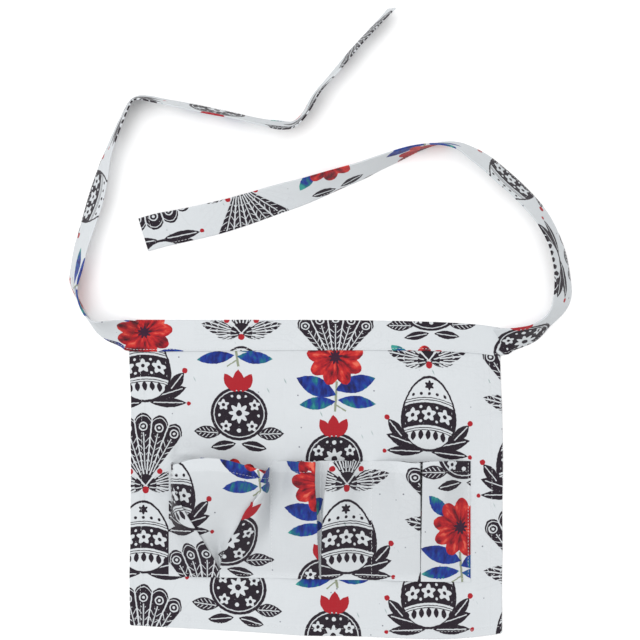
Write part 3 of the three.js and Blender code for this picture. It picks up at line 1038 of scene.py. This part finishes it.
def leaf(x, y, x0, y0, length, width, angle):
    """Distance to a pointed leaf whose half width is a parabola along it, and to its middle vein."""
    along, across = turned(x, y, x0, y0, angle)
    t = along / length
    off = abs(across)
    blade = off - (t * (1.0 - t)) * (2 * width)
    vein = (off - 0.4).at_least((t - 0.5) * (t - 0.5) * length - 0.16 * length)
    return blade, vein


def blossom(x, y, x0, y0, size, petals):
    """Distance to a flower whose radius swings with the cosine of the petals' angle."""
    away_x, away_y = x - x0, y - y0
    angle = away_x.turn_from(away_y)
    return away_x.long_side(away_y) - ((angle * petals).cos() * (0.2 * size) + 0.8 * size)


def line(x, y, x0, y0, x1, y1, width):
    """Distance to a bar between two points."""
    length = float(np.hypot(x1 - x0, y1 - y0))
    angle = float(np.degrees(np.arctan2(y1 - y0, x1 - x0)))
    along, across = turned(x, y, x0, y0, angle)
    return abs(across).at_least(abs(along - length / 2) - length / 2 + width / 2) - width / 2


def any_of(*distances):
    """The union of shapes is the smallest of their distances."""
    nearest = distances[0]
    for distance in distances[1:]:
        nearest = nearest.at_most(distance)
    return nearest


def rounds(x, y, *circles):
    """Distance to the nearest of some circles, each given by its place and its radius."""
    return any_of(*(oval(x, y, x0, y0, radius, radius) for x0, y0, radius in circles))


def fan_motif(x, y):
    """A black palmette: five blades that open from one foot, each with a white vein, white barbs
    that slant away from it and a ring near its tip; two dark side leaves and red berries."""
    up = y + 26.5
    angle = x.turn_from(up)
    away = x.long_side(up)
    blade = 0.27
    near = (angle / blade + 0.5) % 1.0 - 0.5
    off = abs(near) * blade * away
    side = abs(abs(near) - 0.5) * blade * away
    tip = 59.0 - angle * angle * 10.0 - near * near * 22.0
    black = (away - tip).at_least((abs(angle) - 2.5 * blade) * away)
    barbs = abs((away - off * 1.1) % 5.2 - 2.6) - 0.4
    barbs = barbs.at_least(16.0 - away).at_least(away - 41.0).at_least(1.1 - off)
    vein = (off - 0.42).at_least(12.0 - away).at_least(away - 43.0)
    ring = (away - 48.0).long_side(near * blade * away)
    dots = abs(ring - 3.1) - 0.5
    rim = abs(away - tip + 2.2) - 0.35
    gaps = (side - 0.55).at_least(9.0 - away)
    white = any_of(barbs, vein, dots, ring - 1.1, rim, gaps)
    foot, foot_vein = leaf(abs(x), y, 1.0, -27.0, 33.0, 13.0, 15)
    low, low_vein = leaf(abs(x), y, 1.0, -28.0, 19.0, 7.0, -8)
    black = any_of(black, foot, low)
    white = any_of(white, foot_vein, low_vein)
    red = any_of(rounds(abs(x), y, (12.0, -15.5, 2.3)), oval(x, y, 0.0, -30.5, 2.6, 2.9))
    return black, white, red


def pod_motif(x, y):
    """A black round pod with white daisies and dots, a red crown of three points, two dark leaves
    and a dotted ring inside its rim."""
    half = abs(x)
    black = oval(x, y, 0.0, -2.0, 23.0, 21.5)
    ring = abs(oval(x, y, 0.0, -2.0, 20.2, 18.8)) - 0.38
    middle = blossom(x, y, 0.0, -1.5, 8.4, 8)
    sides = blossom(half, y, 12.6, 5.0, 4.6, 5)
    lows = blossom(half, y, 10.5, -12.0, 4.6, 5)
    hearts = rounds(half, y, (0.0, -1.5, 2.4), (12.6, 5.0, 1.4), (10.5, -12.0, 1.4))
    beads = rounds(half, y, (0.0, 11.5, 1.7), (5.6, 12.0, 1.0), (0.0, -15.5, 1.7), (15.8, -3.4, 1.1))
    white = any_of(ring, middle, sides, lows, beads).at_least(hearts * -1.0)
    wing, wing_vein = leaf(half, y, 14.5, -18.0, 22.0, 10.5, 3)
    along, across = turned(half, y, 14.5, -18.0, 3)
    teeth = (abs((along - abs(across) * 0.9) % 3.4 - 1.7) - 0.36).at_least(1.0 - abs(across))
    bough, bough_vein = leaf(half, y, 2.0, -26.0, 21.0, 8.0, -10)
    black = any_of(black, wing, bough)
    white = any_of(white, wing_vein, teeth.at_least(wing + 1.0), bough_vein)
    red = any_of(leaf(x, y, 0.0, 15.5, 18.0, 9.5, 90)[0], leaf(half, y, 2.5, 15.5, 17.0, 8.5, 60)[0])
    return black, white, red


def egg_motif(x, y):
    """A white egg in a black line: a belt of black flowers between double lines, dots above, a row
    of little leaves below, on a nest of black twigs with red tips."""
    narrow = 1.0 - y * 0.0065
    shell = oval(x / narrow, y, 0.0, 1.0, 21.5, 29.0)
    outline = abs(shell) - 0.75
    bent = y + x * x * 0.011
    belt = abs(bent - 1.0) - 9.0
    lines = any_of(abs(abs(bent - 1.0) - 11.0) - 0.35, abs(abs(bent - 1.0) - 12.8) - 0.35)
    spaced = (x + 6.5) % 13.0 - 6.5
    flowers = blossom(spaced, bent, 0.0, 1.0, 5.9, 5).at_least(1.5 - spaced.long_side(bent - 1.0))
    buds = rounds(x % 13.0, abs(bent - 1.0), (6.5, 5.6, 1.1))
    dots = rounds((x + 3.2) % 6.4, bent, (3.2, 17.0, 1.25))
    crown = blossom(x, y, 0.0, 23.4, 4.0, 6)
    row = leaf((x + 3.0) % 6.0, bent, 3.0, -19.5, 8.0, 4.2, 90)[0]
    drawn = any_of(belt, lines, dots, crown, row).at_least(shell + 0.4)
    light = any_of(flowers, buds).at_least(shell + 2.4)
    nest = (
        leaf(abs(x), y, 0.0, -27.0, 35.0, 12.0, 15),
        leaf(abs(x), y, 3.0, -29.0, 30.0, 8.0, -3),
        leaf(abs(x), y, 20.0, -20.0, 19.0, 9.0, 48),
    )
    twigs, veins = (any_of(*parts) for parts in zip(*nest))
    twigs = twigs.at_least(shell * -1.0)
    black = any_of(outline, drawn, twigs)
    white = any_of(veins.at_least(twigs), light)
    red = rounds(abs(x), y, (33.6, -4.4, 2.2), (34.6, -31.2, 1.7))
    return black, white, red


def bloom_motif(x, y):
    """A painted red bloom: nine petals around a dark eye, on a grey-green stem with broad blue and
    teal leaves. Returns the petals, their angle and radius, the leaves and the stem."""
    from_x, from_y = x - 3.0, y - 9.0
    angle = from_x.turn_from(from_y)
    away = from_x.long_side(from_y)
    petals = away - (abs((angle * 4.5).cos()) * 5.5 + 17.5)
    blades = (
        (1.0, -21.0, 34.0, 15.0, 154),
        (1.0, -17.0, 34.0, 13.5, 14),
        (0.0, -26.0, 29.0, 10.0, 183),
        (2.0, -25.0, 31.0, 10.0, -8),
        (15.0, 17.0, 22.0, 10.0, 46),
    )
    leaves = any_of(*(leaf(x, y, *blade)[0] for blade in blades))
    stem = any_of(line(x, y, 2.5, -10.0, -1.0, -34.0, 1.9), line(x, y, -1.0, -28.0, 8.0, -34.0, 1.1))
    return petals, angle, away, leaves, stem


# Colours of the print and the cloth, the size of a motif's cell and the scale of the motifs.
GROUND = paint(194, 198, 201)
LIGHT_GROUND = paint(199, 203, 206)
BACK = paint(194, 199, 203)
INK = paint(27, 17, 28)
RED = paint(155, 22, 33)
STEM_GREEN = paint(121, 129, 102)
EYE_PLUM = paint(48, 15, 40)
SPECK_GREY = paint(62, 64, 80)
STROKE_TEAL = paint(86, 124, 118)
SLUB_GREY = paint(114, 118, 124)
CELL_WIDTH = 92.0
CELL_HEIGHT = 84.0
MOTIF_SCALE = 1.2


def printed_cotton():
    """Printed cotton over the `cloth` attribute, in millimetres. The motifs stand in columns, each
    column half a cell lower than the last, mirrored and turned a little by chance. Their edges are
    roughened by noise. Where one ply spans a hollow the colour is darkened a little towards the ink,
    as painted shade. The weave is two crossing sines in a Bump."""
    nodes = Nodes("printed_cotton")
    u, v, side = nodes.parts(nodes.attribute("cloth"))
    back = side.at_least(0.0)
    # Share of painted shade where one ply spans a hollow.
    single_ply_shade = (side * -1.0).at_least(0.0)
    flat = nodes.place(u, v, back)
    wobble = nodes.noise(flat, 3.4, 2.0)
    wobble_2 = nodes.noise(nodes.place(u + 40.0, v + 9.0), 3.4, 2.0)
    x = u + (wobble - 0.5) * 1.3
    y = v + (wobble_2 - 0.5) * 1.3
    column = (x / CELL_WIDTH).floor()
    y = y + (column % 2.0) * (CELL_HEIGHT / 2)
    row = (y / CELL_HEIGHT).floor()
    cell = nodes.place(column, row)
    mirror = (nodes.chance(cell, 0.3) > 0.5) * 2.0 - 1.0
    tilt = (nodes.chance(cell, 0.7) - 0.5) * 0.15
    in_x = x % CELL_WIDTH - CELL_WIDTH / 2
    in_y = y % CELL_HEIGHT - CELL_HEIGHT / 2
    across = (in_x * tilt.cos() + in_y * tilt.sin()) * mirror / MOTIF_SCALE
    rise = (in_y * tilt.cos() - in_x * tilt.sin()) / MOTIF_SCALE
    kind = (column + row * 2.0 + (column / 2.0).floor()) % 4.0
    is_fan, is_bloom, is_egg, is_pod = (abs(kind - number) < 0.5 for number in range(4))

    layers = []
    for motif, here in ((fan_motif, is_fan), (egg_motif, is_egg), (pod_motif, is_pod)):
        layers.append([distance.inside() * here for distance in motif(across, rise)])
    black, white, red = (a + b + c for a, b, c in zip(*layers))
    petals, angle, away, leaves, stem = bloom_motif(across, rise)

    dry = nodes.noise(flat, 1.4, 3.0).share(0.22, 0.32)
    stroke = nodes.noise(nodes.place(angle * 3.4, away * 0.09, row + column * 3.0), 1.0, 4.0)
    petal_red = nodes.ramp(
        stroke,
        (0.3, (51, 9, 20)),
        (0.4, (110, 13, 26)),
        (0.5, (157, 20, 30)),
        (0.6, (184, 38, 34)),
        (0.72, (208, 96, 76)),
    )
    streak = nodes.noise(nodes.place(across * 0.26, rise * 0.12 + abs(across) * 0.1, row), 1.0, 3.0)
    patch = nodes.noise(nodes.place(across * 0.045, rise * 0.045, row + 7.0), 1.0, 1.0)
    leaf_blue = nodes.ramp(
        streak * 0.45 + patch * 0.55,
        (0.34, (14, 13, 32)),
        (0.42, (18, 30, 101)),
        (0.5, (22, 50, 136)),
        (0.57, (16, 94, 112)),
        (0.66, (48, 138, 130)),
    )
    slant = nodes.place(u * 0.9 + v * 0.4, (v * 0.9 - u * 0.4) * 0.22, 3.0)
    speck = nodes.spots(flat, 11.0, 0.4, 0.72)
    scratch = nodes.spots(slant, 8.0, 0.55, 0.5)
    eye = away - 4.6 - (angle * 9.0).cos() * 1.2

    coloured = nodes.mix(nodes.noise(flat, 46.0, 2.0), GROUND, LIGHT_GROUND)
    for share, colour in (
        (speck * 0.85, SPECK_GREY),
        (scratch * 0.65, STROKE_TEAL),
        (stem.inside() * is_bloom * 0.9, STEM_GREEN),
        (leaves.inside() * is_bloom, leaf_blue),
        (petals.inside() * is_bloom, petal_red),
        (eye.inside() * is_bloom, EYE_PLUM),
        (black * dry, INK),
        (white, GROUND),
        (red, RED),
        # Painted shade: one ply over a hollow is darkened 7 % towards the ink.
        (single_ply_shade * 0.07, INK),
        (back * 0.86, BACK),
    ):
        coloured = nodes.mix(share, coloured, colour)

    slub = nodes.noise(nodes.place(u * 0.05, v * 1.6), 1.0, 3.0)
    slub_2 = nodes.noise(nodes.place(u * 1.6, v * 0.05), 1.0, 3.0)
    thin = (slub + slub_2).share(0.7, 1.4)
    coloured = nodes.mix(thin * 0.1, coloured, nodes.mix(0.5, coloured, SLUB_GREY))

    thread_turn = 2 * np.pi / 0.52
    warp = (u * thread_turn).sin() * (v * thread_turn).sin()
    weave_bump = nodes.bump(warp * 0.5 + thin, 0.00005)
    puckers = nodes.noise(flat, 9.0, 3.0)
    return nodes.finish(
        {
            "Base Color": coloured,
            "Normal": nodes.bump(puckers, 0.00055, weave_bump),
            "Roughness": 0.88,
            "Specular IOR Level": 0.25,
            "Sheen Weight": 0.12,
        }
    )


def sewing_thread():
    """White sewing thread with its twist as a slanted stripe in bump, and as painted shade in its
    colour.
    """
    nodes = Nodes("white_thread")
    place = nodes.add("ShaderNodeTexCoord").outputs["Object"]
    x, y, _ = nodes.parts(place)
    twist = ((x + y) * (2 * np.pi / 0.0005)).sin()
    # Painted shade: the colour is darker in the twist's grooves, where the bump is low.
    colour = nodes.mix(twist.share(-1.0, 1.0), paint(203, 206, 209), paint(221, 223, 224))
    return nodes.finish(
        {"Base Color": colour, "Roughness": 0.7, "Normal": nodes.bump(twist, 0.00005)}
    )


def pale_board():
    """The floor: matt, nearly white, with a faint unevenness."""
    nodes = Nodes("pale_board")
    place = nodes.add("ShaderNodeTexCoord").outputs["Object"]
    cloud = nodes.noise(place, 0.4, 2.0)
    colour = nodes.mix(cloud, paint(248, 248, 248), paint(252, 252, 252))
    return nodes.finish({"Base Color": colour, "Roughness": 0.95, "Specular IOR Level": 0.1})


# The apron

cotton = printed_cotton()
thread = sewing_thread()

panel, panel_grid, panel_across, panel_down = make_panel(cotton)
pockets, pocket_grid, pocket_flat, pocket_up = make_pockets(cotton)
strip, strip_grid = make_strip(cotton)


def panel_line(x0, y0, x1, y1, count=400):
    """Grid rows and columns of a straight line over the panel, from flat millimetres."""
    x, y = np.linspace(x0, x1, count), np.linspace(y0, y1, count)
    column = np.interp(x, panel_across, np.arange(len(panel_across)))
    row = np.interp(-y, -panel_down, np.arange(len(panel_down)))
    return row, column


right_seam, lower_seam = PANEL_WIDTH - SIDE_STITCH, PANEL_HEIGHT - LOWER_STITCH
panel_seams = [
    stitches_on(panel_grid, *panel_line(*ends), CLOTH)
    for ends in (
        (SIDE_STITCH, BAND_WIDTH + 3, SIDE_STITCH, PANEL_HEIGHT - 1),
        (right_seam, BAND_WIDTH + 1, right_seam, PANEL_HEIGHT - 1),
        (2, lower_seam, PANEL_WIDTH - 2, lower_seam),
    )
]
panel_stitches = thread_piece("panel_stitches", panel_seams, thread)


def pocket_upright(flat, low=2.0, high=POCKET_DEPTH - 0.6):
    """Grid rows and columns of an upright seam of the pockets at a place across the flat strip."""
    row = np.interp(np.linspace(low, high, 200) / POCKET_DEPTH, pocket_up, np.arange(len(pocket_up)))
    return row, np.interp(flat, pocket_flat, np.arange(len(pocket_flat))) + 0 * row


def pocket_level(height, first, last):
    """Grid rows and columns of a level seam of the pockets, between two columns."""
    row = np.interp(height / POCKET_DEPTH, pocket_up, np.arange(len(pocket_up)))
    column = np.linspace(first, last, 160)
    return row + 0 * column, column


# The first mouth is spread, so its seam runs through the pleat; the others show on the front plies
# alone.
pocket_columns = (len(pocket_flat) - 2 * SEAM_FLAT) // 3
pocket_seams = [
    stitches_on(pocket_grid, *pocket_upright(flat), CLOTH)
    for flat in (pocket_flat[0] + 2.3, POCKET_FLAT, 2 * POCKET_FLAT, pocket_flat[-1] - 2.3)
]
mouth_seams = []
for number in range(3):
    begin = SEAM_FLAT + number * pocket_columns
    end = begin + pocket_columns - 1
    fronts = ((begin, begin + FRONT_COLUMNS - 2), (end - FRONT_COLUMNS + 2, end))
    for columns in fronts:
        pocket_seams.append(stitches_on(pocket_grid, *pocket_level(3.0, *columns), CLOTH))
    for columns in fronts if number > 0 else [(begin, end)]:
        level = pocket_level(POCKET_DEPTH - 9, *columns)
        mouth_seams.append(stitches_on(pocket_grid, *level, CLOTH))
pocket_stitches = thread_piece("pocket_stitches", pocket_seams, thread)
mouth_stitches = thread_piece("mouth_stitches", mouth_seams, thread, 0.6 * THREAD)

stations = np.linspace(4, len(strip_grid) - 5, 3000)
strip_seams = [
    stitches_on(strip_grid, stations, column + 0 * stations, STRIP_CLOTH)
    for column in (STITCH_COLUMN, strip_grid.shape[1] - 1 - STITCH_COLUMN)
]
for station in (5.0, len(strip_grid) - 6.0):
    for first, last in ((10, 25), (strip_grid.shape[1] - 11, strip_grid.shape[1] - 26)):
        columns = np.linspace(first, last, 60)
        strip_seams.append(stitches_on(strip_grid, station + 0 * columns, columns, STRIP_CLOTH))
strip_stitches = thread_piece("strip_stitches", strip_seams, thread)

# Each piece hung on the root body, and the CAD parts that it stands for hidden

for piece, nodes, slot in (
    (panel, ["apron_panel"], "apron_panel"),
    (pockets, ["pocket_panel"], "pocket_panel"),
    (strip, ["waistband", "tie_left", "tie_right"], "waistband"),
    (panel_stitches, [], "apron_panel"),
    (pocket_stitches, [], "pocket_panel"),
    (mouth_stitches, [], "pocket_panel"),
    (strip_stitches, [], "waistband"),
):
    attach(piece, "root")
    if nodes:
        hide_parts(*nodes)

# Floor, light and camera


FLOOR_HALF = 3000
FLOOR_LEVEL = -0.4
LAMP_SIZE = 1.4
WORLD_STRENGTH = 0.77


def make_floor():
    """A square board just under the cloth."""
    signs = ((-1, -1), (1, -1), (1, 1), (-1, 1))
    corners = np.array([(x * FLOOR_HALF, y * FLOOR_HALF, FLOOR_LEVEL) for x, y in signs])
    new_mesh("floor", corners, np.array([[0, 1, 2, 3]]), pale_board(), smooth=False)


def make_light(name, place, size, power, target=(0, 0, 0)):
    """A square soft lamp at a place in metres, turned to face the target."""
    lamp = bpy.data.lights.new(name, "AREA")
    lamp.size, lamp.energy = size, power
    made = bpy.data.objects.new(name, lamp)
    bpy.context.collection.objects.link(made)
    made.location = place
    away = made.location - type(made.location)(target)
    made.rotation_euler = away.to_track_quat("Z", "Y").to_euler()


make_floor()
make_light("key_lamp", (-1.1, -0.12, 2.0), LAMP_SIZE, 19)
make_light("overhead_lamp", (-0.1, 0.6, 2.3), LAMP_SIZE, 18)
make_light("fill_lamp", (1.5, 0.5, 1.6), LAMP_SIZE, 3)
world = bpy.data.worlds.new("studio")
world.use_nodes = True
world.node_tree.nodes["Background"].inputs["Color"].default_value = (1, 1, 1, 1)
world.node_tree.nodes["Background"].inputs["Strength"].default_value = WORLD_STRENGTH
bpy.context.scene.world = world
bpy.context.scene.view_settings.view_transform = "Standard"

camera_data = bpy.data.cameras.new("camera")
camera_data.lens = CAMERA_LENS
camera_data.sensor_width = CAMERA_SENSOR
camera = bpy.data.objects.new("camera", camera_data)
bpy.context.collection.objects.link(camera)
camera.location = (*(CAMERA_OVER * 0.001), CAMERA_HEIGHT * 0.001)
bpy.context.scene.camera = camera
